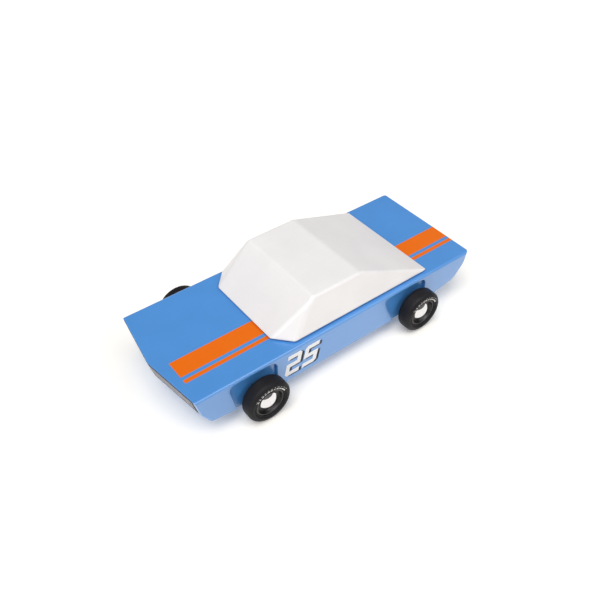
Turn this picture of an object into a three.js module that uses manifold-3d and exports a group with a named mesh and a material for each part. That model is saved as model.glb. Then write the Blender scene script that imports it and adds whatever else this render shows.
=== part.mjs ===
// A painted wooden toy racing car: a faceted cabin block doweled onto a body block,
// and two steel axles that each carry a pair of rubber-tyred wheels.
//
// Millimetres, +Z up. The nose points to -X and the car's left side to -Y.
// The origin is on the ground, under the middle of the car.

import * as THREE from "three";
import { mergeVertices } from "three/addons/utils/BufferGeometryUtils.js";
import Module from "manifold-3d";

const wasm = await Module();
wasm.setup();

// ---- Driving dimensions ---------------------------------------------------

const CAR_LENGTH = 181.8;
const BODY_WIDTH = 69.6;
const DECK_HEIGHT = 28.7;
const UNDERSIDE_HEIGHT = 7.8;
const NOSE_POINT = 4.9; // how far the nose runs ahead of its corners, at the middle

const WHEEL_RADIUS = 12.1;
const FRONT_AXLE_X = -51.4;
const REAR_AXLE_X = 49.3;
const TYRE_OUTER_Y = 43.9;
const TYRE_WIDTH = 8.6;

// Wheel pockets milled into the body's sides, from the top of the leading edge to the trailing edge.
// The leading edge leans back by `slant` on its way down.
const POCKETS = [
  { frontX: -68.4, rearX: -41.2, slant: 4 },
  { frontX: 27.4, rearX: 57.2, slant: 8 },
];
const POCKET_DEPTH = 1.8;
const POCKET_TOP = 26.5;
const POCKET_CORNER = 3.5;

const GAP = 0.3; // between pieces that touch on the real car

const TAIL_X = CAR_LENGTH / 2;
const NOSE_X = -CAR_LENGTH / 2;
const HALF_WIDTH = BODY_WIDTH / 2;
const POCKET_FLOOR_Y = HALF_WIDTH - POCKET_DEPTH;
const WHEEL_SEGMENTS = 28;
const SMALL_SEGMENTS = 16;

// ---- Materials ------------------------------------------------------------

const lacquer = (color) => new THREE.MeshStandardMaterial({ color, roughness: 0.32, metalness: 0 });

const bluePaint = lacquer(0x4a90d9);
const whitePaint = lacquer(0xf1efec);
const beech = new THREE.MeshStandardMaterial({ color: 0xd9b686, roughness: 0.7, metalness: 0 });
const steel = new THREE.MeshStandardMaterial({ color: 0xa6a9ad, roughness: 0.3, metalness: 1 });
const rubber = new THREE.MeshStandardMaterial({ color: 0x262528, roughness: 0.6, metalness: 0 });
const blackPlastic = new THREE.MeshStandardMaterial({ color: 0x161618, roughness: 0.4, metalness: 0 });
const chrome = new THREE.MeshStandardMaterial({ color: 0xe4e6e8, roughness: 0.08, metalness: 1 });
const nylon = new THREE.MeshStandardMaterial({ color: 0xe6e2d8, roughness: 0.5, metalness: 0 });

// ---- Geometry helpers -----------------------------------------------------

const point = (x, y) => new THREE.Vector2(x, y);

// Welds a geometry's vertices and drops the triangles that collapse, such as those at a lathe's axis.
function welded(geometry) {
  geometry.deleteAttribute("normal");
  geometry.deleteAttribute("uv");
  const merged = mergeVertices(geometry, 1e-4);
  const index = merged.getIndex().array;
  const kept = [];
  for (let i = 0; i < index.length; i += 3) {
    const [a, b, c] = [index[i], index[i + 1], index[i + 2]];
    if (a !== b && b !== c && c !== a) kept.push(a, b, c);
  }
  merged.setIndex(kept);
  return merged;
}

function toSolid(geometry) {
  const shell = welded(geometry);
  const vertProperties = new Float32Array(shell.getAttribute("position").array);
  const triVerts = new Uint32Array(shell.getIndex().array);
  return new wasm.Manifold(new wasm.Mesh({ numProp: 3, vertProperties, triVerts }));
}

function toGeometry(solid) {
  const { vertProperties, triVerts } = solid.getMesh();
  const geometry = new THREE.BufferGeometry();
  geometry.setAttribute("position", new THREE.Float32BufferAttribute(vertProperties, 3));
  geometry.setIndex(Array.from(triVerts));
  return geometry;
}

const cutFrom = (geometry, cutters) =>
  toGeometry(cutters.reduce((solid, cutter) => solid.subtract(toSolid(cutter)), toSolid(geometry)));

// A solid of revolution about the Y axis, from [radius, y] pairs, turned so that a flat faces down.
function turned(profile, segments) {
  const points = profile.map(([radius, y]) => point(radius, y));
  return welded(new THREE.LatheGeometry(points, segments, Math.PI / segments));
}

// A round bar along Y, between two values of y.
const bar = (radius, from, to) =>
  turned([[0, from], [radius, from], [radius, to], [0, to]], SMALL_SEGMENTS);

// An upright round peg between two heights.
const peg = (radius, bottom, top) => bar(radius, bottom, top).rotateX(Math.PI / 2);

// The quarter arcs of a profile's corner, as [radius, y] pairs.
function cornerArc([r, y], radius, startAngle, steps) {
  return Array.from({ length: steps + 1 }, (_, i) => {
    const angle = startAngle + (i / steps) * (Math.PI / 2);
    return [r + radius * Math.cos(angle), y + radius * Math.sin(angle)];
  });
}

// Skins a closed solid over outlines in X and Z, one per station along Y, all with as many points.
function lofted(stations) {
  const count = stations[0].outline.length;
  const positions = stations.flatMap(({ y, outline }) => outline.flatMap(({ x, y: z }) => [x, y, z]));
  const faces = [];
  for (let s = 0; s + 1 < stations.length; s++) {
    for (let i = 0; i < count; i++) {
      const a = s * count + i;
      const b = s * count + ((i + 1) % count);
      faces.push(a, a + count, b + count, a, b + count, b);
    }
  }
  const last = (stations.length - 1) * count;
  for (const [a, b, c] of THREE.ShapeUtils.triangulateShape(stations[0].outline, [])) {
    faces.push(a, b, c, last + a, last + c, last + b);
  }
  const geometry = new THREE.BufferGeometry();
  geometry.setAttribute("position", new THREE.Float32BufferAttribute(positions, 3));
  geometry.setIndex(faces);
  return geometry;
}

function named(name, geometry, material) {
  const mesh = new THREE.Mesh(geometry, material);
  mesh.name = name;
  return mesh;
}

// ---- Body block -----------------------------------------------------------

const UNDERSIDE_END_X = 56; // the underside is level to here, and ramps up beyond

// The side outline, from the deck's front edge down round the chin and up the tail, where the
// nose's front edge is at noseX.
function bodyOutline(noseX) {
  return [
    point(noseX, DECK_HEIGHT),
    point(noseX + 3, DECK_HEIGHT - 12),
    point(noseX + 7, UNDERSIDE_HEIGHT + 2.3),
    point(-UNDERSIDE_END_X, UNDERSIDE_HEIGHT),
    point(UNDERSIDE_END_X, UNDERSIDE_HEIGHT),
    point(TAIL_X - 7.9, UNDERSIDE_HEIGHT + 5.3),
    point(TAIL_X - 1.3, DECK_HEIGHT - 7.6),
    point(TAIL_X, DECK_HEIGHT),
  ];
}

// A wheel pocket's outline seen from the side: a slanted leading edge and an upright trailing edge.
function pocketOutline({ frontX, rearX, slant }) {
  const low = UNDERSIDE_HEIGHT - 1;
  const cornerZ = POCKET_TOP - POCKET_CORNER;
  const leadingX = (z) => frontX + (slant * (POCKET_TOP - z)) / (POCKET_TOP - UNDERSIDE_HEIGHT);
  const shape = new THREE.Shape();
  shape.moveTo(leadingX(low), low);
  shape.lineTo(rearX, low);
  shape.lineTo(rearX, cornerZ);
  shape.quadraticCurveTo(rearX, POCKET_TOP, rearX - POCKET_CORNER, POCKET_TOP);
  shape.lineTo(frontX + POCKET_CORNER, POCKET_TOP);
  shape.quadraticCurveTo(frontX, POCKET_TOP, leadingX(cornerZ), cornerZ);
  return shape;
}

// The cutter is extruded along Y past the body's side, on the side given by `side` (-1 left, 1 right).
function pocketCutter(shape, side) {
  const depth = POCKET_DEPTH + 1;
  const cutter = new THREE.ExtrudeGeometry(shape, { depth, bevelEnabled: false, curveSegments: 3 });
  cutter.rotateX(Math.PI / 2);
  return cutter.translate(0, side < 0 ? -POCKET_FLOOR_Y : POCKET_FLOOR_Y + depth, 0);
}

const AXLE_RADIUS = 1.25;
const AXLE_BORE_RADIUS = 1.55;
const DOWEL_RADIUS = 4;
const DOWEL_BOTTOM = DECK_HEIGHT - 13;
const DOWEL_TOP = DECK_HEIGHT + 7;
const DOWEL_X = { front: -8, rear: 30 };

const axleBore = (x) => bar(AXLE_BORE_RADIUS, -HALF_WIDTH, HALF_WIDTH).translate(x, 0, WHEEL_RADIUS);

const dowelHole = (x) => peg(DOWEL_RADIUS + GAP, DOWEL_BOTTOM - GAP, DOWEL_TOP + GAP).translate(x, 0, 0);

function bodyGeometry() {
  const noseCornerX = NOSE_X + NOSE_POINT;
  const block = lofted([
    { y: -HALF_WIDTH, outline: bodyOutline(noseCornerX) },
    { y: 0, outline: bodyOutline(NOSE_X) },
    { y: HALF_WIDTH, outline: bodyOutline(noseCornerX) },
  ]);
  return cutFrom(block, [
    ...POCKETS.map(pocketOutline).flatMap((shape) => [pocketCutter(shape, -1), pocketCutter(shape, 1)]),
    axleBore(FRONT_AXLE_X),
    axleBore(REAR_AXLE_X),
    dowelHole(DOWEL_X.front),
    dowelHole(DOWEL_X.rear),
  ]);
}

// ---- Cabin block ----------------------------------------------------------

const CABIN_BOTTOM = DECK_HEIGHT + GAP;
const ROOF_HEIGHT = 47.8;

// Nine flat facets: windscreen, two triangular corner facets, sides, roof, rear window and base.
// Corner points are listed for the car's right side (+Y) and mirrored to the left.
function cabinGeometry() {
  const corners = [
    [-37.3, 23.4, CABIN_BOTTOM],
    [-28.5, 32.9, CABIN_BOTTOM],
    [60.4, 32.9, CABIN_BOTTOM],
    [-13.8, 27.9, ROOF_HEIGHT],
    [15.5, 27.9, ROOF_HEIGHT],
  ];
  const positions = [...corners, ...corners.map(([x, y, z]) => [x, -y, z])].flat();
  const [screen, shoulder, tail, roofFront, roofRear] = [0, 1, 2, 3, 4];
  const left = (corner) => corner + corners.length;
  const outlines = [
    [screen, roofFront, left(roofFront), left(screen)],
    [roofFront, roofRear, left(roofRear), left(roofFront)],
    [roofRear, tail, left(tail), left(roofRear)],
    [screen, shoulder, roofFront],
    [left(shoulder), left(screen), left(roofFront)],
    [shoulder, tail, roofRear, roofFront],
    [left(tail), left(shoulder), left(roofFront), left(roofRear)],
    [left(screen), left(shoulder), left(tail), tail, shoulder, screen],
  ];
  const fan = ([first, ...rest]) => rest.slice(1).flatMap((corner, i) => [first, corner, rest[i]]);
  const block = new THREE.BufferGeometry();
  block.setAttribute("position", new THREE.Float32BufferAttribute(positions, 3));
  block.setIndex(outlines.flatMap(fan));
  return cutFrom(block, [dowelHole(DOWEL_X.front), dowelHole(DOWEL_X.rear)]);
}

// ---- Wheels ---------------------------------------------------------------
// Every profile is for the right wheel (+Y), in [radius, y], with the axle's centre line at radius 0.

const HUB_RADIUS = 7.8;
const RIB_RADIUS = 9; // the rib round the hub that keys into the tyre
const RIB_Y = [38.2, 41];
const HUB_BACK_Y = TYRE_OUTER_Y - TYRE_WIDTH + 0.4;
const HUB_LIP_Y = TYRE_OUTER_Y - 0.8;
const DISH_Y = TYRE_OUTER_Y - 2.2;
const BOSS_RADIUS = 3.4;
const WASHER_THICKNESS = 0.5;
const BOSS_Y = POCKET_FLOOR_Y + 2 * GAP + WASHER_THICKNESS;
const AXLE_END_Y = 39.1;
const CAP_RADIUS = 5;
const CAP_STEM_RADIUS = 2.8;

function tyreGeometry() {
  const tread = WHEEL_RADIUS / Math.cos(Math.PI / WHEEL_SEGMENTS); // its flats touch the ground
  const shoulder = 2.4;
  const inner = TYRE_OUTER_Y - TYRE_WIDTH;
  const bore = HUB_RADIUS + GAP;
  const groove = RIB_RADIUS + GAP;
  const profile = [
    [bore, inner + 0.4],
    [bore + 0.6, inner],
    ...cornerArc([tread - shoulder, inner + shoulder], shoulder, -Math.PI / 2, 3),
    ...cornerArc([tread - shoulder, TYRE_OUTER_Y - shoulder], shoulder, 0, 3),
    [bore + 0.6, TYRE_OUTER_Y],
    [bore, TYRE_OUTER_Y - 0.4],
    [bore, RIB_Y[1] + GAP],
    [groove, RIB_Y[1] + GAP],
    [groove, RIB_Y[0] - GAP],
    [bore, RIB_Y[0] - GAP],
  ];
  return turned([...profile, profile[0]], WHEEL_SEGMENTS);
}

// A black hub with a boss and a blind bore for the axle inside, and a dish with the cap's socket outside.
function hubGeometry() {
  const axleHole = AXLE_RADIUS + GAP;
  const socket = CAP_STEM_RADIUS + GAP;
  return turned([
    [0, AXLE_END_Y + GAP],
    [axleHole, AXLE_END_Y + GAP],
    [axleHole, BOSS_Y],
    [BOSS_RADIUS, BOSS_Y],
    [BOSS_RADIUS, HUB_BACK_Y],
    [HUB_RADIUS, HUB_BACK_Y],
    [HUB_RADIUS, RIB_Y[0]],
    [RIB_RADIUS, RIB_Y[0]],
    [RIB_RADIUS, RIB_Y[1]],
    [HUB_RADIUS, RIB_Y[1]],
    [HUB_RADIUS, HUB_LIP_Y],
    [HUB_RADIUS - 0.7, HUB_LIP_Y],
    [HUB_RADIUS - 1.1, DISH_Y],
    [socket, DISH_Y],
    [socket, DISH_Y - 1.4],
    [0, DISH_Y - 1.4],
  ], WHEEL_SEGMENTS);
}

// A domed cap on a short stem, a shallow slice of a sphere.
function hubCapGeometry() {
  const flange = DISH_Y + GAP;
  const rim = flange + 0.2;
  const rise = TYRE_OUTER_Y - rim;
  const sphere = (CAP_RADIUS ** 2 + rise ** 2) / (2 * rise);
  const dome = [1, 0.78, 0.52, 0.26].map((part) => {
    const radius = part * CAP_RADIUS;
    return [radius, TYRE_OUTER_Y - sphere + Math.sqrt(sphere ** 2 - radius ** 2)];
  });
  return turned([
    [0, DISH_Y - 1.4 + GAP],
    [CAP_STEM_RADIUS, DISH_Y - 1.4 + GAP],
    [CAP_STEM_RADIUS, flange],
    [CAP_RADIUS, flange],
    ...dome,
    [0, TYRE_OUTER_Y],
  ], WHEEL_SEGMENTS);
}

function washerGeometry() {
  const near = POCKET_FLOOR_Y + GAP;
  const far = near + WASHER_THICKNESS;
  const hole = AXLE_RADIUS + GAP;
  const rim = BOSS_RADIUS + 0.2;
  return turned([[hole, near], [rim, near], [rim, far], [hole, far], [hole, near]], SMALL_SEGMENTS);
}

// One wheel, modelled for the right side and turned half round for the left.
function wheel(place, side) {
  const group = new THREE.Group();
  const label = `${place}_${side}`;
  group.add(
    named(`tyre_${label}`, tyreGeometry(), rubber),
    named(`wheel_hub_${label}`, hubGeometry(), blackPlastic),
    named(`hub_cap_${label}`, hubCapGeometry(), chrome),
    named(`axle_washer_${label}`, washerGeometry(), nylon),
  );
  if (side === "left") group.rotation.z = Math.PI;
  return group;
}

function axleAssembly(place, x) {
  const group = new THREE.Group();
  group.position.set(x, 0, WHEEL_RADIUS);
  group.add(
    named(`axle_${place}`, bar(AXLE_RADIUS, -AXLE_END_Y, AXLE_END_Y), steel),
    wheel(place, "left"),
    wheel(place, "right"),
  );
  return group;
}

// ---- Assembly -------------------------------------------------------------

const car = new THREE.Group();
car.add(
  named("body_block", bodyGeometry(), bluePaint),
  named("cabin_block", cabinGeometry(), whitePaint),
  axleAssembly("front", FRONT_AXLE_X),
  axleAssembly("rear", REAR_AXLE_X),
);
for (const [place, x] of Object.entries(DOWEL_X)) {
  const dowel = named(`cabin_dowel_${place}`, peg(DOWEL_RADIUS, DOWEL_BOTTOM, DOWEL_TOP), beech);
  dowel.position.x = x;
  car.add(dowel);
}

export default car;
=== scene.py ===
import math
from contextlib import contextmanager

import bmesh
import bpy
from bpy.props import FloatProperty, FloatVectorProperty, IntProperty, PointerProperty
from mathutils import Matrix, Vector


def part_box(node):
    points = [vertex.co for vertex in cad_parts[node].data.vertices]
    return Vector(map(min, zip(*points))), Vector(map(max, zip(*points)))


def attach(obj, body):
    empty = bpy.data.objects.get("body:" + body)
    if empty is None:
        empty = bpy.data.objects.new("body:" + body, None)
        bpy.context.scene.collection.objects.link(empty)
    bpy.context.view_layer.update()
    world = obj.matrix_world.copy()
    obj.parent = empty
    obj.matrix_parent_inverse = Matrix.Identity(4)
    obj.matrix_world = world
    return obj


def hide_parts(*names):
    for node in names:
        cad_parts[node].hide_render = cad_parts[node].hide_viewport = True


bl_info = {
    "name": "Painted Wooden Toy Racing Car",
    "version": (1, 0, 0),
    "blender": (4, 5, 0),
    "location": "3D View > Sidebar > Toy Car",
    "description": "Models and finishes a lacquered beech racing car around its fixed frame",
    "category": "Add Mesh",
}

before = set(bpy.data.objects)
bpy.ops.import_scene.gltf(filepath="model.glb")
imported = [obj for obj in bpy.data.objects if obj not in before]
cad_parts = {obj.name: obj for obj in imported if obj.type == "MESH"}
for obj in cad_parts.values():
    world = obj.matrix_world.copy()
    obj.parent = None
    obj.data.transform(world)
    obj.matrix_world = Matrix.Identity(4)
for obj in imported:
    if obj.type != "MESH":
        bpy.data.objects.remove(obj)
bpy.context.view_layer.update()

MM = 0.001
CORNERS = ("front_left", "front_right", "rear_left", "rear_right")

BODY_LOW, BODY_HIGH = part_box("body_block")
CABIN_LOW, CABIN_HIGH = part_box("cabin_block")
DECK = BODY_HIGH.z
HALF_WIDTH = BODY_HIGH.y


def linear(code):
    """Turns an sRGB hex code into the linear colour that Blender's sockets take."""
    channels = [int(code[i:i + 2], 16) / 255 for i in (0, 2, 4)]
    return tuple(c / 12.92 if c <= 0.04045 else ((c + 0.055) / 1.055) ** 2.4 for c in channels)


# ---- Settings ---------------------------------------------------------------


def paint_colour(name, description, code):
    settings = {"subtype": "COLOR", "size": 3, "min": 0, "max": 1, "default": linear(code)}
    return FloatVectorProperty(name=name, description=description, **settings)


def length(name, description, value):
    settings = {"unit": "LENGTH", "precision": 5, "min": 0, "default": value * MM}
    return FloatProperty(name=name, description=description, **settings)


def number(name, description, value, least=0):
    """A whole number or a share, whichever its default is."""
    kind = IntProperty if isinstance(value, int) else FloatProperty
    return kind(name=name, description=description, min=least, default=value)


class BodySettings(bpy.types.PropertyGroup):
    """Sizes and paint of the body block."""

    paint: paint_colour("Body paint", "Colour of the sprayed lacquer on the body", "4b91d9")
    stripe: paint_colour("Stripe paint", "Colour of the two racing stripes", "e86c00")
    edge: length("Edge radius", "How far the block's long edges are sanded round", 0.7)
    tail_edge: length("Tail edge radius", "How far the long edges are sanded round behind the cabin", 3)
    tail_bend: length("Tail bend radius", "How far the bends across the tail are sanded round", 6)
    under_edge: length("Lower edge radius", "How far the long edges of the underside are sanded round", 1.5)
    mouth: length("Pocket edge radius", "How far the wheel pockets' mouths are sanded round", 0.4)
    pocket_depth: length("Pocket depth", "How deep the wheel pockets are milled into each side", 1.5)


class CabinSettings(bpy.types.PropertyGroup):
    """Sizes and paint of the cabin block."""

    paint: paint_colour("Cabin paint", "Colour of the cabin's white lacquer", "efecec")
    edge: length("Edge radius", "How far the cabin's ridges and foot are sanded round", 1.4)
    tail_corner: length("Tail corner radius", "How far the corners of the thin tail are sanded round", 2.6)
    seam: length("Seam height", "Height of the rebate that makes the dark seam under the cabin", 0.6)
    seam_depth: length("Seam depth", "How far that rebate is cut in", 1.2)


class MarkSettings(bpy.types.PropertyGroup):
    """Sizes and inks of the printed number and grille."""

    white_ink: paint_colour("Number ink", "Colour of the number's figures", "f6f6f8")
    navy_ink: paint_colour("Shadow ink", "Colour of the shadow behind the figures", "090d2a")
    silver_ink: paint_colour("Grille ink", "Colour of the printed grille's bars", "a6a4a8")
    black_ink: paint_colour("Grille ground", "Colour printed behind the grille's bars", "14161c")
    figure_height: length("Figure height", "Height of each figure of the number", 13)
    stroke: length("Stroke", "Width of the figures' strokes", 2.4)


class WheelSettings(bpy.types.PropertyGroup):
    """Sizes and finishes of the wheels."""

    rubber: paint_colour("Tyre rubber", "Colour of the tyres' rubber", "131216")
    plastic: paint_colour("Hub plastic", "Colour of the hubs' plastic", "0c0c0e")
    chrome: paint_colour("Chrome", "Colour of the plated hub caps", "e8e8ea")
    marks: paint_colour("Sidewall ink", "Colour of the bars printed on the tyres", "f2f0ec")
    segments: number("Segments", "Steps round a wheel", 96, least=32)
    shoulder: length("Shoulder radius", "Rounding between the tread and the sidewalls", 2.4)
    mark_count: number("Marks", "Printed bars on each sidewall", 11)


class StageSettings(bpy.types.PropertyGroup):
    """The floor's colour and glow, and the strength of the even light all round."""

    floor: paint_colour("Floor", "Colour of the pale floor", "f7f3ec")
    sky: number("Sky", "Strength of the even light all round", 0.15)
    glow: number("Floor glow", "How far the floor is lit from below", 0.15)


# ---- Modelling tools --------------------------------------------------------

SMOOTH_ANGLE = math.radians(32)  # faces that meet at less than this are shaded as one
FLAT_ANGLE = math.radians(0.2)  # faces that meet at less than this are one flat face
TOUCH = 0.01 * MM  # two places nearer than this are the same
MERGE = 0.002 * MM  # two vertices nearer than this are made one
FACING = 0.99  # a face whose normal has this much of a direction faces that way
QUARTER_TURN = math.pi / 2
EDGE_STEPS = 5  # faces across a rounded edge


def deselect_all():
    if bpy.context.mode != "OBJECT":
        bpy.ops.object.mode_set(mode="OBJECT")
    bpy.ops.object.select_all(action="DESELECT")


def pick_object(piece):
    deselect_all()
    piece.select_set(True)
    bpy.context.view_layer.objects.active = piece


@contextmanager
def editing(piece):
    """Edit mode on one piece, with everything in it deselected at the start."""
    pick_object(piece)
    bpy.ops.object.mode_set(mode="EDIT")
    bpy.ops.mesh.select_mode(type="VERT")
    bpy.ops.mesh.select_all(action="DESELECT")
    yield piece
    bpy.ops.object.mode_set(mode="OBJECT")


def choose(piece, kind, test):
    """Selects the vertices, edges or faces in edit mode for which the test holds, and nothing else."""
    bpy.ops.mesh.select_mode(type={"verts": "VERT", "edges": "EDGE", "faces": "FACE"}[kind])
    bpy.ops.mesh.select_all(action="DESELECT")
    mesh = bmesh.from_edit_mesh(piece.data)
    for element in getattr(mesh, kind):
        if test(element):
            element.select_set(True)
    mesh.select_flush_mode()
    bmesh.update_edit_mesh(piece.data, loop_triangles=False, destructive=False)


def named(name):
    """Names the piece that was just added and moves its place into its mesh."""
    piece = bpy.context.object
    piece.name = piece.data.name = name
    bpy.ops.object.transform_apply(location=True, rotation=True, scale=True)
    return piece


def join(pieces, name):
    """Joins pieces into the first one, under a new name."""
    deselect_all()
    for piece in pieces:
        piece.select_set(True)
    bpy.context.view_layer.objects.active = pieces[0]
    bpy.ops.object.join()
    return named(name)


def block(name, low, high):
    """A rectangular block between two corners."""
    deselect_all()
    low, high = Vector(low), Vector(high)
    bpy.ops.mesh.primitive_cube_add(size=1, location=(low + high) / 2, scale=high - low)
    return named(name)


def facet(a, b, c, inside):
    """The plane through three points, as a point and the normal that faces away from `inside`."""
    normal = (b - a).cross(c - a).normalized()
    return a, normal if normal.dot(a - inside) > 0 else -normal


def hew(piece, facets):
    """Saws the piece along each plane and keeps what lies behind it."""
    with editing(piece):
        for point, normal in facets:
            bpy.ops.mesh.select_all(action="SELECT")
            bpy.ops.mesh.bisect(plane_co=point, plane_no=normal, use_fill=True, clear_outer=True)
        tidy_normals()


def tidy_normals():
    """Merges doubled vertices and turns all faces outwards, in edit mode."""
    bpy.ops.mesh.select_mode(type="VERT")
    bpy.ops.mesh.select_all(action="SELECT")
    bpy.ops.mesh.remove_doubles(threshold=MERGE)
    bpy.ops.mesh.normals_make_consistent(inside=False)


def apply_modifier(piece, kind, **settings):
    pick_object(piece)
    bpy.ops.object.modifier_add(type=kind)
    modifier = piece.modifiers[-1]
    for key, value in settings.items():
        setattr(modifier, key, value)
    bpy.ops.object.modifier_apply(modifier=modifier.name)


def carve(piece, cutter):
    """Takes the cutter's shape out of the piece and throws the cutter away."""
    apply_modifier(piece, "BOOLEAN", object=cutter, operation="DIFFERENCE", solver="EXACT")
    bpy.data.objects.remove(cutter)


def weigh_edges(piece, test, weight):
    """Adds to how strongly the Bevel modifier rounds the edges that pass the test, in edit mode."""
    choose(piece, "edges", test)
    bpy.ops.transform.edge_bevelweight(value=weight)


def round_edges(piece, width):
    """Rounds the weighed edges. An edge of weight 1 gets the whole width."""
    pick_object(piece)
    bpy.ops.object.shade_smooth()
    settings = {"use_clamp_overlap": False, "harden_normals": False, "limit_method": "WEIGHT"}
    apply_modifier(piece, "BEVEL", width=width, segments=EDGE_STEPS, **settings)
    smooth_faces(piece)


def smooth_faces(piece):
    """Smooth shading that keeps the large flat faces flat."""
    pick_object(piece)
    bpy.ops.object.shade_smooth_by_angle(angle=SMOOTH_ANGLE)
    apply_modifier(piece, "WEIGHTED_NORMAL", keep_sharp=True)


def sharp(edge, angle):
    """True where the edge's two faces turn by more than this many degrees."""
    return len(edge.link_faces) == 2 and edge.calc_face_angle(0) > math.radians(angle)


def turned(name, centre, rings, segments, ends="closed"):
    """A piece turned about a line along Y. Each ring is (radius, y), extruded from the one before.

    `ends` is "closed" where the last ring joins the first, "flat" where both ends are filled,
    and "pole" where the first end is filled and the last one is drawn to a point.
    """
    x, _, z = centre
    radius, y = rings[0]
    circle = {"vertices": segments, "radius": radius, "location": (x, y, z)}
    deselect_all()
    bpy.ops.mesh.primitive_circle_add(rotation=(QUARTER_TURN, 0, 0), **circle)
    piece = named(name)
    if ends == "closed":
        rings = [*rings, rings[0]]
    with editing(piece):
        bpy.ops.mesh.select_all(action="SELECT")
        for (r0, y0), (r1, y1) in zip(rings, rings[1:]):
            bpy.ops.mesh.extrude_region_move(TRANSFORM_OT_translate={"value": (0, y1 - y0, 0)})
            bpy.ops.transform.resize(value=(r1 / r0, 1, r1 / r0), center_override=(x, y1, z))
        if ends == "flat":
            bpy.ops.mesh.edge_face_add()
        elif ends == "pole":
            bpy.ops.mesh.merge(type="CENTER")
        if ends != "closed":
            choose(piece, "edges", lambda e: e.is_boundary)
            bpy.ops.mesh.edge_face_add()
        tidy_normals()
    bpy.ops.object.shade_smooth_by_angle(angle=SMOOTH_ANGLE)
    return piece


def arc(centre, radius, start, end, steps):
    """Points of an arc, each as (first, second) coordinate, from one angle in degrees to another."""
    angles = [math.radians(start + (end - start) * i / steps) for i in range(steps + 1)]
    return [(centre[0] + radius * math.cos(a), centre[1] + radius * math.sin(a)) for a in angles]


def copy_turned(piece, name, matrix):
    """A copy with its own mesh, moved by a matrix that goes into the mesh."""
    twin = piece.copy()
    twin.data = piece.data.copy()
    twin.name = twin.data.name = name
    bpy.context.scene.collection.objects.link(twin)
    twin.data.transform(matrix)
    return twin


def finish_piece(piece, material, body, slot, *nodes):
    """Gives a piece its material and the body it rides on, and hides the nodes it stands for. The slot is not
    used.
    """
    piece.data.materials.clear()
    piece.data.materials.append(material)
    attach(piece, body)
    if nodes:
        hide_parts(*nodes)


# ---- Materials --------------------------------------------------------------

# A Mix node's sockets for colours, by their place among its inputs and its outputs.
SHARE, COLOUR_A, COLOUR_B = 0, 6, 7
COLOUR_OUT = 2


def add_node(tree, kind, inputs=(), output=0, **settings):
    """Adds a node, sets its properties, fills or links its inputs, and gives one of its outputs.

    The inputs are a dictionary by name or place, or a tuple in the node's own order.
    """
    node = tree.nodes.new("ShaderNode" + kind)
    for key, value in settings.items():
        setattr(node, key, value)
    for key, value in inputs.items() if isinstance(inputs, dict) else enumerate(inputs):
        socket = node.inputs[key]
        if isinstance(value, bpy.types.NodeSocket):
            tree.links.new(value, socket)
        else:
            socket.default_value = (*value[:3], 1) if socket.type == "RGBA" else value
    return node.outputs[output]


def new_material(name, **shader_inputs):
    """A material with the shader's own sockets set, and the piece's own place in metres."""
    material = bpy.data.materials.new(name)
    material.use_nodes = True
    tree = material.node_tree
    shader = tree.nodes["Principled BSDF"]
    for key, value in shader_inputs.items():
        shader.inputs[key.replace("_", " ")].default_value = value
    return material, tree, shader, add_node(tree, "TexCoord", output="Object")


def link_shader(tree, shader, **patterns):
    """Links a pattern to each of the shader's sockets that is named."""
    for key, pattern in patterns.items():
        tree.links.new(pattern, shader.inputs[key.replace("_", " ")])


def cloudy(tree, place, size, detail=2.0, stretch=(1, 1, 1)):
    """A cloudy pattern whose grains are about `size` metres across."""
    scaled = add_node(tree, "Mapping", {"Vector": place, "Scale": stretch})
    return add_node(tree, "TexNoise", {"Vector": scaled, "Scale": 1 / size, "Detail": detail}, "Fac")


def vary(tree, pattern, start, end, low=0.3, high=0.7):
    """Goes from one number or colour to another as the pattern goes from low to high."""
    if isinstance(start, (int, float)):
        return add_node(tree, "MapRange", (pattern, low, high, start, end))
    share = add_node(tree, "MapRange", (pattern, low, high))
    colours = {SHARE: share, COLOUR_A: start, COLOUR_B: end}
    return add_node(tree, "Mix", colours, COLOUR_OUT, data_type="RGBA")


def toned(colour, factor):
    """The colour made this much brighter, or darker where the factor is below 1."""
    return tuple(min(1.0, c * factor) for c in colour)


def lacquered_beech(name, colour, roughness, clear_coat):
    """Sprayed, cured lacquer on sanded beech: an even colour, faintly clouded, and a soft gloss.

    Its orange peel is about 1.4 mm across, drawn a little coarser than the real 0.8 mm so that it
    shows. The grain beneath, about 0.9 mm wide and 25 mm long, telegraphs faintly through. The
    gloss changes over 12 mm and the colour over 22 mm, as the spray gun's passes do.
    """
    sockets = {"IOR": 1.5, "Coat_Weight": clear_coat, "Coat_IOR": 1.7, "Coat_Roughness": 0.22}
    material, tree, shader, place = new_material(name, **sockets)
    peel = cloudy(tree, place, 1.4 * MM)
    grain = cloudy(tree, place, 0.9 * MM, detail=3.0, stretch=(0.036, 1, 1))
    grain_relief = add_node(tree, "Math", (grain, 0.6), operation="MULTIPLY")
    relief = add_node(tree, "Math", (peel, grain_relief), operation="ADD")
    clouds = cloudy(tree, place, 22 * MM)
    tint = vary(tree, clouds, toned(colour, 0.97), toned(colour, 1.03))
    grain_share = vary(tree, grain, 0, 0.35, 0.45, 0.75)
    tint = vary(tree, grain_share, tint, toned(colour, 0.95), 0, 1)
    link_shader(
        tree,
        shader,
        Base_Color=tint,
        Roughness=vary(tree, cloudy(tree, place, 12 * MM), roughness - 0.03, roughness + 0.04),
        Normal=add_node(tree, "Bump", {"Height": relief, "Strength": 0.06, "Distance": 0.1 * MM}),
    )
    return material, tree, shader, place, tint


STRIPE_START_X = -83.1 * MM
STRIPE_LOW = 0.6 * MM  # the stripes' masking tape stops this far below the deck
# Each stripe as the distance of its two edges from the middle of the car.
STRIPES = ((6.6 * MM, 17.4 * MM), (19.5 * MM, 21.8 * MM))


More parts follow.
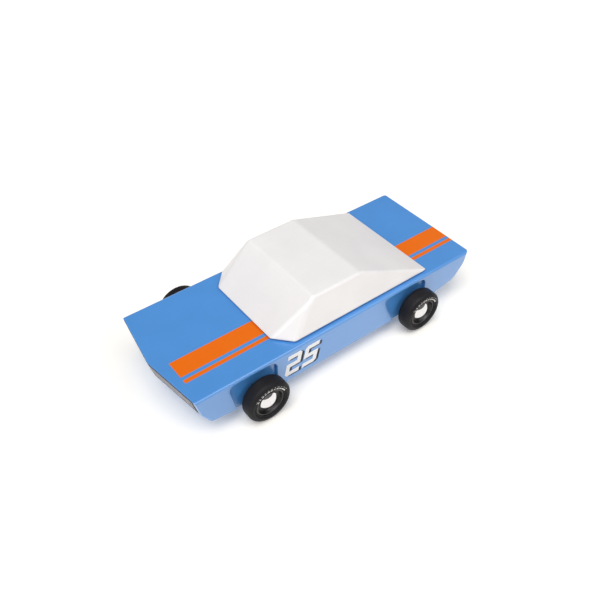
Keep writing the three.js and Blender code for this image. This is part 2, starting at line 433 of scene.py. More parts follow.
def blue_lacquered_beech(settings):
    """Blue lacquer with two orange stripes sprayed over it along the left of the deck.

    The stripes were sprayed last, so they have none of the clear coat.
    """
    material, tree, shader, place, tint = lacquered_beech(
        "blue_lacquered_beech", settings.paint, roughness=0.36, clear_coat=1.0
    )
    x, y, z = add_node(tree, "SeparateXYZ", (place,)).node.outputs
    bands = [
        add_node(tree, "Math", (y, -(near + far) / 2, (far - near) / 2), operation="COMPARE")
        for near, far in STRIPES
    ]
    stripes = add_node(tree, "Math", bands, operation="ADD")
    on_deck = add_node(tree, "Math", (z, DECK - STRIPE_LOW), operation="GREATER_THAN")
    behind_nose = add_node(tree, "Math", (x, STRIPE_START_X), operation="GREATER_THAN")
    painted = add_node(tree, "Math", (on_deck, behind_nose), operation="MULTIPLY")
    mask = add_node(tree, "Math", (stripes, painted), operation="MULTIPLY")
    link_shader(
        tree,
        shader,
        Base_Color=vary(tree, mask, tint, settings.stripe, 0, 1),
        Coat_Weight=add_node(tree, "Math", (1.0, mask), operation="SUBTRACT"),
    )
    return material


def white_lacquered_beech(settings):
    """White lacquer, softer in gloss than the body's, with less clear coat."""
    name = "white_lacquered_beech"
    return lacquered_beech(name, settings.paint, roughness=0.46, clear_coat=0.6)[0]


def printed_ink(name, colour, roughness=0.45):
    """Pad-printed ink, thin and slightly uneven, with a 0.4 mm mottle."""
    material, tree, shader, place = new_material(name, IOR=1.5, Specular_IOR_Level=0.25)
    mottle = cloudy(tree, place, 0.4 * MM)
    link_shader(
        tree,
        shader,
        Base_Color=vary(tree, mottle, toned(colour, 0.94), toned(colour, 1.04)),
        Roughness=vary(tree, mottle, roughness - 0.05, roughness + 0.08),
    )
    return material


def moulded_rubber(settings):
    """Moulded rubber: a dull dark grey with a fine spark-eroded grain of 0.35 mm and dusty patches."""
    material, tree, shader, place = new_material("moulded_rubber", IOR=1.52, Specular_IOR_Level=0.25)
    grain = cloudy(tree, place, 0.35 * MM)
    patches = cloudy(tree, place, 5 * MM, detail=4.0)
    link_shader(
        tree,
        shader,
        Base_Color=vary(tree, patches, settings.rubber, toned(settings.rubber, 1.5), 0.35, 0.75),
        Roughness=vary(tree, patches, 0.5, 0.66),
        Normal=add_node(tree, "Bump", {"Height": grain, "Strength": 0.25, "Distance": 0.05 * MM}),
    )
    return material


def moulded_abs(settings):
    """Moulded black ABS: glossy, with a faint flow mottle of 3 mm."""
    material, tree, shader, place = new_material("moulded_abs", IOR=1.53)
    flow = cloudy(tree, place, 3 * MM)
    link_shader(
        tree,
        shader,
        Base_Color=vary(tree, flow, settings.plastic, toned(settings.plastic, 1.35)),
        Roughness=vary(tree, flow, 0.26, 0.38),
    )
    return material


def chrome_plated_abs(settings):
    """Chrome-plated ABS: a bright mirror with a slight haze and a 6 mm ripple left by the moulding."""
    material, tree, shader, place = new_material("chrome_plated_abs", Metallic=1.0)
    ripple = cloudy(tree, place, 6 * MM)
    link_shader(
        tree,
        shader,
        Base_Color=vary(tree, ripple, toned(settings.chrome, 0.94), settings.chrome, 0, 1),
        Roughness=vary(tree, ripple, 0.05, 0.12),
        Normal=add_node(tree, "Bump", {"Height": ripple, "Strength": 0.05, "Distance": 0.2 * MM}),
    )
    return material


def drawn_steel():
    """Drawn steel rod: bright, with fine scratches along its length, drawn 0.2 mm wide."""
    material, tree, shader, place = new_material("drawn_steel", Metallic=1.0)
    scratches = cloudy(tree, place, 0.2 * MM, stretch=(1, 0.02, 1))
    link_shader(
        tree,
        shader,
        Base_Color=vary(tree, scratches, linear("8d9094"), linear("b9bcc0"), 0, 1),
        Roughness=vary(tree, scratches, 0.22, 0.4),
    )
    return material


def raw_beech():
    """Turned beech dowel: pale tan with darker flecks about 0.5 mm wide and 3 mm long."""
    material, tree, shader, place = new_material("raw_beech", IOR=1.5)
    flecks = cloudy(tree, place, 0.5 * MM, stretch=(1, 1, 0.16))
    link_shader(
        tree,
        shader,
        Base_Color=vary(tree, flecks, linear("dcbb8e"), linear("b98e5c"), 0.4, 0.7),
        Roughness=vary(tree, flecks, 0.55, 0.7),
    )
    return material


def punched_nylon():
    """Punched nylon: milky, waxy and slightly clouded, in 1 mm clouds."""
    material, tree, shader, place = new_material("punched_nylon", IOR=1.53)
    clouds = cloudy(tree, place, 1 * MM)
    link_shader(
        tree,
        shader,
        Base_Color=vary(tree, clouds, linear("d9d4c8"), linear("ece8df"), 0, 1),
        Roughness=vary(tree, clouds, 0.4, 0.5),
    )
    return material


# ---- Body block -------------------------------------------------------------

NOSE_POINT = 4.9 * MM  # how far the nose runs ahead of its corners, at the middle
NOSE_STEP = (3 * MM, 12 * MM)  # how far the nose leans back, and over what height
CHIN = (7 * MM, 2.3 * MM)  # the chin's distance behind the nose, and above the underside
TAIL_HIGH = (1.3 * MM, 7.6 * MM)  # the tail's upper bend, ahead of the tail and below the deck
TAIL_LOW = (7.9 * MM, 5.3 * MM)  # its lower bend, ahead of the tail and above the underside
LEVEL_END = 56 * MM  # the underside is level to here
# Each wheel pocket: front and rear edge at its top, and how far the leading edge leans back.
POCKETS = ((-68.4 * MM, -41.2 * MM, 4 * MM), (27.4 * MM, 57.2 * MM, 8 * MM))
POCKET_TOP = 26.5 * MM
POCKET_CORNER = 3.5 * MM
AXLE_BORE = 1.55 * MM  # its radius
PAST = 2 * MM  # how far a cutter runs past the block
MOUTH_ANGLE = 40  # degrees; a pocket's mouth is sharper than this
BEND_ANGLE = 9  # degrees; the block's other rounded edges are sharper than this
TAIL_CUTS = (60 * MM, 68 * MM)  # the long edges' rounding grows between these and stays wide behind


def body_facets():
    """The planes that the body block is sawn along, nose first."""
    inside = (BODY_LOW + BODY_HIGH) / 2
    nose, tail, under = BODY_LOW.x, BODY_HIGH.x, BODY_LOW.z
    middle = Vector((nose, 0, DECK))
    step = Vector((NOSE_STEP[0], 0, -NOSE_STEP[1]))
    chin = Vector((nose + CHIN[0], 0, under + CHIN[1]))
    facets = []
    for side in (-1, 1):
        corner = Vector((NOSE_POINT, side * HALF_WIDTH, 0))
        facets.append(facet(middle, middle + corner, middle + step, inside))
        facets.append(facet(middle + step, middle + step + corner, chin, inside))
    across = Vector((0, HALF_WIDTH, 0))
    chin_corner = chin + Vector((NOSE_POINT, 0, 0))
    low_bend = Vector((tail - TAIL_LOW[0], 0, under + TAIL_LOW[1]))
    high_bend = Vector((tail - TAIL_HIGH[0], 0, DECK - TAIL_HIGH[1]))
    profile = [
        (chin_corner, Vector((-LEVEL_END, 0, under))),
        (Vector((LEVEL_END, 0, under)), low_bend),
        (low_bend, high_bend),
        (high_bend, Vector((tail, 0, DECK))),
    ]
    facets += [facet(a, b, b + across, inside) for a, b in profile]
    return facets


def pocket_cutter(front, rear, slant, side, depth):
    """The milling cutter's path for one pocket: a leaning leading edge and rounded upper corners."""
    low_z = BODY_LOW.z - PAST
    y_near, y_far = sorted((side * (HALF_WIDTH - depth), side * (HALF_WIDTH + PAST)))
    cutter = block("pocket_cutter", (front, y_near, low_z), (rear, y_far, POCKET_TOP))
    lean = slant * (POCKET_TOP - low_z) / (POCKET_TOP - BODY_LOW.z)

    def is_top_corner(edge):
        ends = [v.co for v in edge.verts]
        return min(end.z for end in ends) > POCKET_TOP - TOUCH and abs(ends[0].y - ends[1].y) > TOUCH

    with editing(cutter):
        choose(cutter, "verts", lambda v: v.co.x < front + TOUCH and v.co.z < low_z + TOUCH)
        bpy.ops.transform.translate(value=(lean, 0, 0))
        choose(cutter, "edges", is_top_corner)
        bpy.ops.mesh.bevel(offset=POCKET_CORNER, segments=6, affect="EDGES")
        tidy_normals()
    return cutter


def make_body(settings):
    body = block("body_shell", BODY_LOW, BODY_HIGH)
    hew(body, body_facets())
    for front, rear, slant in POCKETS:
        for side in (-1, 1):
            carve(body, pocket_cutter(front, rear, slant, side, settings.pocket_depth))
    for place in ("front", "rear"):
        low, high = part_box(f"axle_{place}")
        drill = {"radius": AXLE_BORE, "depth": 3 * HALF_WIDTH, "location": (low + high) / 2}
        deselect_all()
        bpy.ops.mesh.primitive_cylinder_add(rotation=(QUARTER_TURN, 0, 0), **drill)
        carve(body, named("bore_cutter"))
    with editing(body):
        tidy_normals()
        bpy.ops.mesh.dissolve_limited(angle_limit=FLAT_ANGLE)
        for x in TAIL_CUTS:
            bpy.ops.mesh.select_all(action="SELECT")
            bpy.ops.mesh.bisect(plane_co=(x, 0, 0), plane_no=(1, 0, 0))
        widest = max(settings.edge, settings.under_edge, settings.tail_edge, settings.tail_bend)
        radii = {
            "edge": settings.edge,
            "under": settings.under_edge,
            "tail": settings.tail_edge,
            "bend": settings.tail_bend,
            "mouth": settings.mouth,
        }
        for kind, radius in radii.items():
            weigh_edges(body, lambda e: edge_kind(e) == kind, radius / widest)
    round_edges(body, widest)
    return body


def edge_kind(edge):
    """Which of the body block's rounded edges this one is, or None."""
    ends = [v.co for v in edge.verts]
    middle = (ends[0] + ends[1]) / 2
    on_side = abs(middle.y) > HALF_WIDTH - TOUCH
    across = abs(ends[0].y - ends[1].y) > HALF_WIDTH / 2 and all(
        abs(end.y) < TOUCH or abs(end.y) > HALF_WIDTH - TOUCH for end in ends
    )
    by_pocket = any(front - TOUCH < middle.x < rear + TOUCH for front, rear, _ in POCKETS)
    if on_side and by_pocket and middle.z < POCKET_TOP + TOUCH:
        return "mouth" if sharp(edge, MOUTH_ANGLE) else None
    if not (on_side or across) or not sharp(edge, BEND_ANGLE):
        return None
    if middle.x > TAIL_CUTS[1] and on_side:
        return "tail"
    if middle.x > TAIL_CUTS[1] and middle.z < DECK - MM:
        return "bend"
    return "under" if all(end.z < (BODY_LOW.z + BODY_HIGH.z) / 2 for end in ends) else "edge"


class TOYCAR_OT_body(bpy.types.Operator):
    """Saws, mills and paints the body block"""

    bl_idname = "toycar.body"
    bl_label = "Body Block"

    def execute(self, context):
        settings = context.scene.toycar_body
        body = make_body(settings)
        finish_piece(body, blue_lacquered_beech(settings), "car_body", "blue_lacquer", "body_block")
        return {"FINISHED"}


# ---- Cabin block ------------------------------------------------------------

# The cabin's corners on the right side: the foot of the windscreen, the shoulder behind it, and
# the tail of the foot; then the front and rear of the roof.
SCREEN = (-37.3 * MM, 23.4 * MM)
SHOULDER = (-28.5 * MM, 32.9 * MM)
FOOT_TAIL = (60.4 * MM, 32.9 * MM)
ROOF_FRONT = (-13.8 * MM, 27.9 * MM)
ROOF_REAR = (15.5 * MM, 27.9 * MM)
CORNER_ANGLES = (18, 36, 54, 72)  # of the cuts that round the tail's corners
RIDGE_ANGLE = 5  # the cabin's faces that meet at more degrees than this have a ridge between them


def cabin_facets(foot):
    """The planes that the cabin block is sawn along, down to the height of its foot."""
    roof = CABIN_HIGH.z
    inside = Vector((0, 0, (foot + roof) / 2))
    facets = [
        facet(Vector((low[0], 0, foot)), Vector((*low, foot)), Vector((*high, roof)), inside)
        for low, high in ((SCREEN, ROOF_FRONT), (FOOT_TAIL, ROOF_REAR))
    ]
    for side in (-1, 1):
        screen, shoulder, tail, front = (
            Vector((corner[0], side * corner[1], height))
            for corner, height in ((SCREEN, foot), (SHOULDER, foot), (FOOT_TAIL, foot), (ROOF_FRONT, roof))
        )
        facets.append(facet(shoulder, tail, front, inside))
        facets.append(facet(screen, shoulder, front, inside))
    return facets


def tail_corner_facets(radius):
    """Upright planes that round the two corners of the cabin's thin tail, seen from above."""
    facets = []
    for side in (-1, 1):
        centre = Vector((FOOT_TAIL[0] - radius, side * (FOOT_TAIL[1] - radius), 0))
        for angle in CORNER_ANGLES:
            out = Vector((math.cos(math.radians(angle)), side * math.sin(math.radians(angle)), 0))
            facets.append((centre + out * radius, out))
    return facets


class TOYCAR_OT_cabin(bpy.types.Operator):
    """Saws, sands and paints the cabin block"""

    bl_idname = "toycar.cabin"
    bl_label = "Cabin Block"

    def execute(self, context):
        settings = context.scene.toycar_cabin
        foot = CABIN_LOW + Vector((0, 0, settings.seam))
        cabin = block("cabin_shell", foot, CABIN_HIGH)
        hew(cabin, cabin_facets(foot.z))
        with editing(cabin):
            weigh_edges(cabin, lambda e: sharp(e, RIDGE_ANGLE), 1.0)
        round_edges(cabin, settings.edge)
        hew(cabin, tail_corner_facets(settings.tail_corner))
        with editing(cabin):
            choose(cabin, "faces", lambda f: f.normal.z < -FACING)
            bpy.ops.mesh.inset(thickness=settings.seam_depth)
            bpy.ops.mesh.extrude_region_move(TRANSFORM_OT_translate={"value": (0, 0, -settings.seam)})
            tidy_normals()
        smooth_faces(cabin)
        finish_piece(cabin, white_lacquered_beech(settings), "car_body", "white_lacquer", "cabin_block")
        return {"FINISHED"}


# ---- Printed marks ----------------------------------------------------------

# Each figure is drawn as a pen's path over a grid of squares, 3 wide and 5 high, from its first
# square: R, L, U and D each move on by one square.
FIGURE_PATHS = {"2": ((0, 4), "RRDDLLDDRR"), "5": ((2, 4), "LLDDRRDDLL")}
NUMBER = "25"
NUMBER_FRONT_X = -37.2 * MM
NUMBER_FOOT_Z = 12.3 * MM
FIGURE_WIDTH = 8.6 * MM
FIGURE_PITCH = 10.7 * MM
FIGURE_SLANT = 0.22  # how far a figure leans, as a share of its height
FIGURE_CUT = 1.3 * MM  # the figures' outer corners are cut by this much
INK = 0.06 * MM  # the thickness of one coat
SHADOW_OFFSET = (1.4 * MM, -0.8 * MM)


def grid_edges(size, stroke, count):
    """The lines of a grid whose odd cells are a stroke wide and whose others share what is left."""
    gaps = count // 2
    gap = (size - stroke * (count - gaps)) / gaps
    lines = [0.0]
    for cell in range(count):
        lines.append(lines[-1] + (gap if cell % 2 else stroke))
    return lines


def draw_figure(name, figure, settings):
    """One figure as a flat sheet in X and Z, with its foot's front corner at the origin."""
    columns = grid_edges(FIGURE_WIDTH, settings.stroke, 3)
    rows = grid_edges(settings.figure_height, settings.stroke, 5)
    (column, row), path = FIGURE_PATHS[figure]
    start = ((columns[column] + columns[column + 1]) / 2, 0, (rows[row] + rows[row + 1]) / 2)
    deselect_all()
    bpy.ops.mesh.primitive_plane_add(size=1, location=start, rotation=(QUARTER_TURN, 0, 0))
    bpy.context.object.scale = (settings.stroke, settings.stroke, 1)
    piece = named(name)
    steps = {"R": (1, 0), "L": (-1, 0), "U": (0, 1), "D": (0, -1)}
    with editing(piece):
        for move in path:
            right, up = steps[move]
            x_span = (columns[column], columns[column + 1])
            z_span = (rows[row], rows[row + 1])
            x_line, z_line = x_span[right > 0], z_span[up > 0]

            def on_front(edge):
                middle = (edge.verts[0].co + edge.verts[1].co) / 2
                if right:
                    return abs(middle.x - x_line) < TOUCH and z_span[0] < middle.z < z_span[1]
                return abs(middle.z - z_line) < TOUCH and x_span[0] < middle.x < x_span[1]

            choose(piece, "edges", on_front)
            column, row = column + right, row + up
            reach = (columns[column + 1] - columns[column]) if right else (rows[row + 1] - rows[row])
            bpy.ops.mesh.extrude_region_move(TRANSFORM_OT_translate={"value": (right * reach, 0, up * reach)})
        tidy_normals()
        bpy.ops.mesh.dissolve_limited(angle_limit=FLAT_ANGLE)
        choose(piece, "verts", lambda v: is_outer_corner(figure, v.co, settings.figure_height))
        bpy.ops.mesh.bevel(offset=FIGURE_CUT, segments=1, affect="VERTICES")
        for level in sorted({round(v.co.z, 6) for v in bmesh.from_edit_mesh(piece.data).verts}):
            choose(piece, "verts", lambda v: abs(v.co.z - level) < TOUCH)
            bpy.ops.transform.translate(value=(FIGURE_SLANT * level, 0, 0))
    return piece


def is_outer_corner(figure, corner, height):
    """True for the corner of a figure where its stroke turns round, and not for a stroke's end."""
    off_sides = min(abs(corner.x), abs(corner.x - FIGURE_WIDTH))
    off_ends = min(abs(corner.z), abs(corner.z - height))
    upper, rightward = corner.z > height / 2, corner.x > FIGURE_WIDTH / 2
    turns = upper == rightward if figure == "2" else upper != rightward
    return turns and max(off_sides, off_ends) < INK


def make_numbers(settings):
    """The number's figures and their shadows on both sides, each joined into one piece per ink."""
    number_width = FIGURE_PITCH * (len(NUMBER) - 1) + FIGURE_WIDTH
    coats = (("shadow", SHADOW_OFFSET, INK), ("figures", (0, 0), 2 * INK))
    for side, label in ((-1, "left"), (1, "right")):
        for ink, (dx, dz), lift in coats:
            sheets = []
            for place, figure in enumerate(NUMBER):
                sheet = draw_figure(f"figure_{place}", figure, settings)
                sheet.data.transform(Matrix.Translation((place * FIGURE_PITCH + dx, 0, dz)))
                sheets.append(sheet)
            piece = join(sheets, f"number_{ink}_{label}")
            start = NUMBER_FRONT_X if side < 0 else NUMBER_FRONT_X + number_width
            on_side = Matrix.Translation((start, side * (HALF_WIDTH + lift), NUMBER_FOOT_Z))
            turn = Matrix.Rotation(0 if side < 0 else math.pi, 4, "Z")
            piece.data.transform(on_side @ turn)
            thicken(piece, lift, side)
            yield piece, ink


def thicken(piece, depth, side):
    """Gives a flat sheet on the car's side its thickness, inwards to just under the lacquer."""
    with editing(piece):
        inwards = (0, -side * (depth + INK / 2), 0)
        bpy.ops.mesh.select_all(action="SELECT")
        bpy.ops.mesh.extrude_region_move(TRANSFORM_OT_translate={"value": inwards})
        tidy_normals()


class TOYCAR_OT_numbers(bpy.types.Operator):
    """Prints the racing number on both sides of the body"""

    bl_idname = "toycar.numbers"
    bl_label = "Racing Number"

    def execute(self, context):
        settings = context.scene.toycar_marks
        inks = {
            "shadow": (printed_ink("navy_pad_ink", settings.navy_ink), "blue_lacquer"),
            "figures": (printed_ink("white_pad_ink", settings.white_ink), "white_lacquer"),
        }
        for piece, ink in make_numbers(settings):
            material, slot = inks[ink]
            finish_piece(piece, material, "car_body", slot)
        return {"FINISHED"}


GRILLE_TOP = 0.4 * MM  # below the deck
GRILLE_HEIGHT = 10.4 * MM
GRILLE_END = 2 * MM  # short of the nose's corners
GRILLE_FRAME = 1.7 * MM
GRILLE_BARS = 5
GRILLE_GAP = 0.5  # between two bars, as a share of a bar's height
GRILLE_SPLIT = (0.15 * MM, 0.9 * MM)  # from the nose's middle to the black ground and to the bars


def nose_point(side, across, drop, lift):
    """A point on one half of the nose: `across` from its middle, `drop` below the deck, `lift` off it."""
    along = Vector((NOSE_POINT, side * HALF_WIDTH, 0)).normalized()
    down = Vector((NOSE_STEP[0], 0, -NOSE_STEP[1])).normalized()
    out = along.cross(down)
    if out.x > 0:
        out = -out
    return Vector((BODY_LOW.x, 0, DECK)) + along * across + down * drop + out * lift


def nose_panel(name, side, span, drops, lift):
    """A thin printed panel on one half of the nose."""
    piece = block(name, (-1, -1, -1), (1, 1, 1))
    corners = {
        (x > 0, y > 0, z > 0): nose_point(side, span[y > 0], drops[z > 0], lift if x > 0 else -INK)
        for x in (-1, 1) for y in (-1, 1) for z in (-1, 1)
    }
    with editing(piece):
        mesh = bmesh.from_edit_mesh(piece.data)
        for vertex in mesh.verts:
            vertex.co = corners[tuple(c > 0 for c in vertex.co)]
        bmesh.update_edit_mesh(piece.data)
        tidy_normals()
    return piece


class TOYCAR_OT_grille(bpy.types.Operator):
    """Prints the grille across the nose"""

    bl_idname = "toycar.grille"
    bl_label = "Grille Print"

    def execute(self, context):
        settings = context.scene.toycar_marks
        half_length = math.hypot(NOSE_POINT, HALF_WIDTH) - GRILLE_END
        bar_height = (GRILLE_HEIGHT - 2 * GRILLE_FRAME) / (GRILLE_BARS + GRILLE_GAP * (GRILLE_BARS - 1))
        ground, bars = [], []
        for side in (-1, 1):
            span = (GRILLE_SPLIT[0], half_length)
            drops = (GRILLE_TOP, GRILLE_TOP + GRILLE_HEIGHT)
            ground.append(nose_panel("grille_ground", side, span, drops, INK))
            span = (GRILLE_SPLIT[1], half_length - GRILLE_FRAME)
            for bar in range(GRILLE_BARS):
                top = GRILLE_TOP + GRILLE_FRAME + bar * (1 + GRILLE_GAP) * bar_height
                bars.append(nose_panel("grille_bar", side, span, (top, top + bar_height), 2 * INK))
        black = printed_ink("black_pad_ink", settings.black_ink)
        silver = printed_ink("silver_pad_ink", settings.silver_ink)
        finish_piece(join(ground, "grille_ground"), black, "car_body", "blue_lacquer")
        finish_piece(join(bars, "grille_bars"), silver, "car_body", "white_lacquer")
        return {"FINISHED"}


# ---- Wheels -----------------------------------------------------------------

# Sections of the wheel as (radius, depth in from the wheel's outer face), in millimetres. The tyre's
# bead ring is given beyond the bead's own radius.
BEAD_RADIUS = 8.0
BEAD_RING = ((0, 1.5), (0, 0.75), (0.12, 0.5), (0.4, 0.4), (0.65, 0.5), (0.75, 0.68), (1.0, 0.5))
BEAD_BACK = 0.6  # how far the tyre's inner sidewall slopes to the bead
SIDEWALL_RISE = (0.5, 0.12)  # the sidewall's end inside the shoulder, and how far in it still lies
SHOULDER_STEPS = 9
HUB_SOCKET = ((2.9, 3.4), (3.1, 2.5))
HUB_STEP = ((5.3, 2.5), (5.5, 2.7), (6.5, 2.7), (6.7, 2.5))
HUB_RIM = ((7.0, 1.2), (7.15, 0.95), (7.5, 0.85), (7.9, 0.95))
HUB_BACK = ((7.9, 7.9), (7.6, 8.2), (3.6, 8.2), (3.4, 8.4))
HUB_BOSS_RADIUS = 3.4
AXLE_HOLE = (1.4, 2)  # its radius in the boss, and its depth
CAP_STEM = ((2.7, 3.3), (2.7, 2.45), (4.8, 2.45), (4.95, 2.3))
CAP_RADIUS, CAP_APEX, CAP_BASE = 4.9, 0.2, 1.95  # the dome's radius, and where it starts and ends
CAP_STEPS = 12
CAP_LAST_ANGLE = 88.5  # degrees; the dome's last ring, before its point


def wheel_place(corner):
    """A wheel's centre on its outer face, and which way is out along Y."""
    low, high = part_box(f"tyre_{corner}")
    side = -1 if corner.endswith("left") else 1
    outer = low.y if side < 0 else high.y
    return Vector(((low.x + high.x) / 2, outer, (low.z + high.z) / 2)), side


def for_each_wheel(first, label):
    """The first wheel's piece and its copies, as (corner, piece). The right ones are turned half round."""
    start, _ = wheel_place(CORNERS[0])
    first.name = first.data.name = f"{label}_{CORNERS[0]}"
    yield CORNERS[0], first
    for corner in CORNERS[1:]:
        place, side = wheel_place(corner)
        spin = Matrix.Rotation(math.pi if side > 0 else 0, 4, "Z")
        matrix = Matrix.Translation(place) @ spin @ Matrix.Translation(-start)
        yield corner, copy_turned(first, f"{label}_{corner}", matrix)


def wheel_body(corner):
    return "front_wheels" if corner.startswith("front") else "rear_wheels"


def wheel_rings(face_y, points):
    """Rings of a left wheel from (radius, depth) points in millimetres."""
    return [(radius * MM, face_y + max(0.0, depth) * MM) for radius, depth in points]


class TOYCAR_OT_tyres(bpy.types.Operator):
    """Moulds the four rubber tyres and prints the bars on their sidewalls"""

    bl_idname = "toycar.tyres"
    bl_label = "Tyres"

    def execute(self, context):
        settings = context.scene.toycar_wheels
        centre, _ = wheel_place(CORNERS[0])
        low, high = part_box(f"tyre_{CORNERS[0]}")
        width, radius, shoulder = ((high.y - low.y) / MM, centre.z / MM, settings.shoulder / MM)
        face = radius - shoulder
        outer_shoulder = arc((face, -shoulder), shoulder, 90, 0, SHOULDER_STEPS)
        inner_shoulder = arc((face, shoulder - width), shoulder, 0, -90, SHOULDER_STEPS)
        points = [
            *[(BEAD_RADIUS + beyond, depth) for beyond, depth in BEAD_RING],
            (face - SIDEWALL_RISE[0], SIDEWALL_RISE[1]),
            *[(r, -d) for r, d in outer_shoulder],
            (radius, width / 2),
            *[(r, -d) for r, d in inner_shoulder],
            (BEAD_RADIUS + BEAD_BACK, width),
            (BEAD_RADIUS, width - SIDEWALL_RISE[0]),
        ]
        tyre = turned("tyre", centre, wheel_rings(centre.y, points), settings.segments)
        rubber = moulded_rubber(settings)
        for corner, piece in for_each_wheel(tyre, "tyre_round"):
            finish_piece(piece, rubber, wheel_body(corner), "tyre_rubber", f"tyre_{corner}")
        ink = printed_ink("white_sidewall_ink", settings.marks, roughness=0.55)
        for corner, piece in for_each_wheel(sidewall_marks(settings, centre), "tyre_marks"):
            finish_piece(piece, ink, wheel_body(corner), "white_lacquer")
        return {"FINISHED"}


MARK_RADII = (8.6 * MM, 10.1 * MM)
MARK_SPAN = (-58, 66)  # degrees from the top of the wheel
MARK_WIDTHS = (0.62, 0.372, 0.62, 0.465, 0.62)  # shares of the marks' pitch, in turn
MARK_DEPTHS = (0.02 * MM, 0.9 * MM)  # from the wheel's outer face to a mark's face and its root
MARK_EDGE = 0.12 * MM  # the worn edge inside a mark's outline
MARK_LEAN = 0.22 * MM  # how far a mark's inner end follows the sidewall in


def sidewall_marks(settings, centre):
    """An arc of plain bars over the top of the wheel's outer sidewall."""
    bars = []
    pitch = (MARK_SPAN[1] - MARK_SPAN[0]) / settings.mark_count
    inner, outer = MARK_RADII
    middle = (inner + outer) / 2
    face, root = MARK_DEPTHS
    for index in range(settings.mark_count):
        half = math.radians(pitch) * MARK_WIDTHS[index % len(MARK_WIDTHS)] * middle / 2
        bar = block("mark", centre + Vector((-half, face, inner)), centre + Vector((half, root, outer)))
        with editing(bar):
            choose(bar, "faces", lambda f: f.normal.y < -FACING)
            bpy.ops.mesh.inset(thickness=MARK_EDGE)
            choose(bar, "verts", lambda v: v.co.z < centre.z + middle and v.co.y < centre.y + face + TOUCH)
            bpy.ops.transform.translate(value=(0, MARK_LEAN, 0))
        angle = math.radians(MARK_SPAN[0] + pitch * (index + 0.5))
        turn = Matrix.Translation(centre) @ Matrix.Rotation(angle, 4, "Y") @ Matrix.Translation(-centre)
        bar.data.transform(turn)
        bars.append(bar)
    return join(bars, "marks")


class TOYCAR_OT_hubs(bpy.types.Operator):
    """Moulds the four black hubs"""

    bl_idname = "toycar.hubs"
    bl_label = "Wheel Hubs"

    def execute(self, context):
        settings = context.scene.toycar_wheels
        centre, _ = wheel_place(CORNERS[0])
        _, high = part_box(f"wheel_hub_{CORNERS[0]}")
        boss_end = (high.y - centre.y) / MM
        hole, depth = AXLE_HOLE
        boss = ((HUB_BOSS_RADIUS, boss_end), (hole, boss_end), (hole, boss_end - depth))
        rings = wheel_rings(centre.y, HUB_SOCKET + HUB_STEP + HUB_RIM + HUB_BACK + boss)
        hub = turned("hub", centre, rings, settings.segments, ends="flat")
        plastic = moulded_abs(settings)
        for corner, piece in for_each_wheel(hub, "hub_dish"):
            finish_piece(piece, plastic, wheel_body(corner), "hub_plastic", f"wheel_hub_{corner}")
        return {"FINISHED"}


class TOYCAR_OT_caps(bpy.types.Operator):
    """Presses the four chromed hub caps"""

    bl_idname = "toycar.caps"
    bl_label = "Hub Caps"

    def execute(self, context):
        settings = context.scene.toycar_wheels
        centre, _ = wheel_place(CORNERS[0])
        rise = CAP_BASE - CAP_APEX
        sphere = (CAP_RADIUS**2 + rise**2) / (2 * rise)
        start = 90 - math.degrees(math.asin(CAP_RADIUS / sphere))
        dome = arc((0, -(CAP_APEX + sphere)), sphere, start, CAP_LAST_ANGLE, CAP_STEPS)
        rings = wheel_rings(centre.y, [*CAP_STEM, *[(r, -d) for r, d in dome]])
        cap = turned("cap", centre, rings, settings.segments, ends="pole")
        chrome = chrome_plated_abs(settings)
        for corner, piece in for_each_wheel(cap, "cap_dome"):
            finish_piece(piece, chrome, wheel_body(corner), "cap_chrome", f"hub_cap_{corner}")
        return {"FINISHED"}


class TOYCAR_OT_hardware(bpy.types.Operator):
    """Finishes the axles, washers and dowels, whose shapes are the frame's own"""

    bl_idname = "toycar.hardware"
    bl_label = "Axles, Washers and Dowels"

    def execute(self, context):
        finishes = {"axle_washer_": punched_nylon(), "axle_": drawn_steel(), "cabin_dowel_": raw_beech()}
        for name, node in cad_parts.items():
            for start, material in finishes.items():
                if name.startswith(start):
                    node.data.materials.clear()
                    node.data.materials.append(material)
                    break
        return {"FINISHED"}


# ---- Stage ------------------------------------------------------------------

CAMERA_PLACE = Vector((-167.66, -217.77, 274.33)) * MM
CAMERA_AIM = Vector((0.4442, 0.5798, -0.6830))
CAMERA_LENS = 42.115
CLIP_START = 0.01  # metres
BACKDROP = 0.9  # how bright the studio's wall looks, beyond the floor
FLOOR_SIZE = 8  # metres

# Each soft light's name, the direction it comes from, how wide it looks in degrees, and the share
# of full brightness that it gives to a surface facing it.
SOFT_LIGHTS = (
    ("key", (0.30, -0.60, 0.74), 40, 0.25),
    ("fill", (-0.50, -0.22, 0.84), 45, 0.31),
    ("overhead", (-0.2, -0.1, 1.0), 40, 0.4),
    ("front", (-0.88, -0.1, 0.45), 40, 0.12),
    ("tail_rim", (0.85, 0.2, 0.48), 28, 0.08),
)


def matt_card(settings):
    """Matt white card: evenly pale, with a speckle of 3 mm, and lit a little from below."""
    glow = {"Emission_Color": (1, 1, 1, 1), "Emission_Strength": settings.glow}
    material, tree, shader, place = new_material("matt_card", Roughness=0.8, **glow)
    speckle = cloudy(tree, place, 3 * MM)
    tint = vary(tree, speckle, toned(settings.floor, 0.995), settings.floor, 0, 1)
    link_shader(tree, shader, Base_Color=tint)
    return material


def add_soft_light(name, direction, width, share):
    """A sun lamp as wide as a softbox looks from the car."""
    turn = direction.to_track_quat("Z", "Y").to_euler()
    deselect_all()
    bpy.ops.object.light_add(type="SUN", location=direction, rotation=turn)
    lamp = bpy.context.object
    lamp.name = name
    lamp.data.angle = math.radians(width)
    lamp.data.energy = share * math.pi


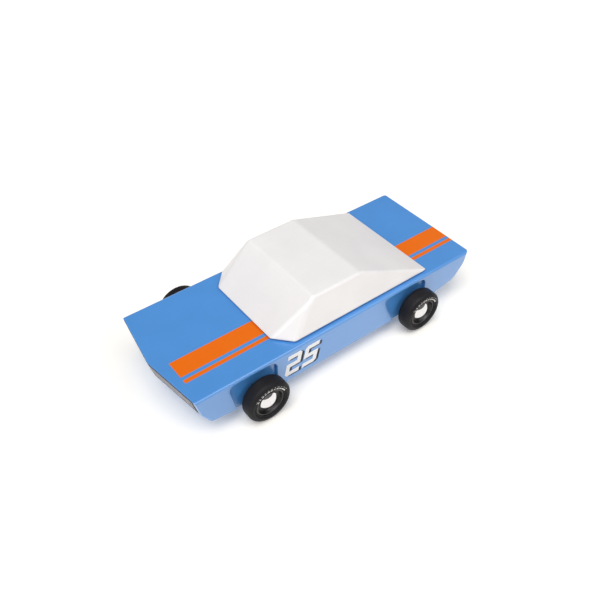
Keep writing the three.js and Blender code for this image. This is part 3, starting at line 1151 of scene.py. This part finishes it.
class TOYCAR_OT_stage(bpy.types.Operator):
    """Lays the pale floor and sets the studio's lights and camera"""

    bl_idname = "toycar.stage"
    bl_label = "Stage"

    def execute(self, context):
        settings = context.scene.toycar_stage
        deselect_all()
        bpy.ops.mesh.primitive_plane_add(size=FLOOR_SIZE)
        floor = bpy.context.object
        floor.name = "floor"
        floor.data.materials.append(matt_card(settings))

        for name, direction, width, share in SOFT_LIGHTS:
            add_soft_light(name, Vector(direction), width, share)

        world = bpy.data.worlds.new("studio")
        context.scene.world = world
        world.use_nodes = True
        tree = world.node_tree
        background = tree.nodes["Background"]
        background.inputs["Color"].default_value = (1, 1, 1, 1)
        seen = add_node(tree, "LightPath", output="Is Camera Ray")
        link_shader(tree, background, Strength=vary(tree, seen, settings.sky, BACKDROP, 0, 1))

        turn = CAMERA_AIM.to_track_quat("-Z", "Y").to_euler()
        deselect_all()
        bpy.ops.object.camera_add(location=CAMERA_PLACE, rotation=turn)
        camera = bpy.context.object
        camera.data.sensor_width = 36
        camera.data.lens = CAMERA_LENS
        camera.data.clip_start = CLIP_START
        context.scene.camera = camera
        context.scene.view_settings.view_transform = "Standard"
        return {"FINISHED"}


# ---- Panel and registration -------------------------------------------------

OPERATORS = (
    TOYCAR_OT_stage,
    TOYCAR_OT_body,
    TOYCAR_OT_cabin,
    TOYCAR_OT_numbers,
    TOYCAR_OT_grille,
    TOYCAR_OT_tyres,
    TOYCAR_OT_hubs,
    TOYCAR_OT_caps,
    TOYCAR_OT_hardware,
)

SETTINGS = {
    "toycar_body": BodySettings,
    "toycar_cabin": CabinSettings,
    "toycar_marks": MarkSettings,
    "toycar_wheels": WheelSettings,
    "toycar_stage": StageSettings,
}


class TOYCAR_PT_sidebar(bpy.types.Panel):
    """Lists the car's settings and the operators that make its pieces"""

    bl_idname = "TOYCAR_PT_sidebar"
    bl_label = "Toy Car"
    bl_space_type = "VIEW_3D"
    bl_region_type = "UI"
    bl_category = "Toy Car"

    def draw(self, context):
        layout = self.layout
        for operator in OPERATORS:
            layout.operator(operator.bl_idname)
        for key, group in SETTINGS.items():
            box = layout.box()
            box.label(text=group.__name__.replace("Settings", ""))
            for name in group.__annotations__:
                box.prop(getattr(context.scene, key), name)


def register():
    for group in SETTINGS.values():
        bpy.utils.register_class(group)
    for key, group in SETTINGS.items():
        setattr(bpy.types.Scene, key, PointerProperty(type=group))
    for operator in OPERATORS:
        bpy.utils.register_class(operator)
    bpy.utils.register_class(TOYCAR_PT_sidebar)


def unregister():
    bpy.utils.unregister_class(TOYCAR_PT_sidebar)
    for operator in reversed(OPERATORS):
        bpy.utils.unregister_class(operator)
    for key in SETTINGS:
        delattr(bpy.types.Scene, key)
    for group in reversed(SETTINGS.values()):
        bpy.utils.unregister_class(group)


def main():
    register()
    for operator in OPERATORS:
        group, action = operator.bl_idname.split(".")
        getattr(getattr(bpy.ops, group), action)()


if __name__ == "__main__":
    main()
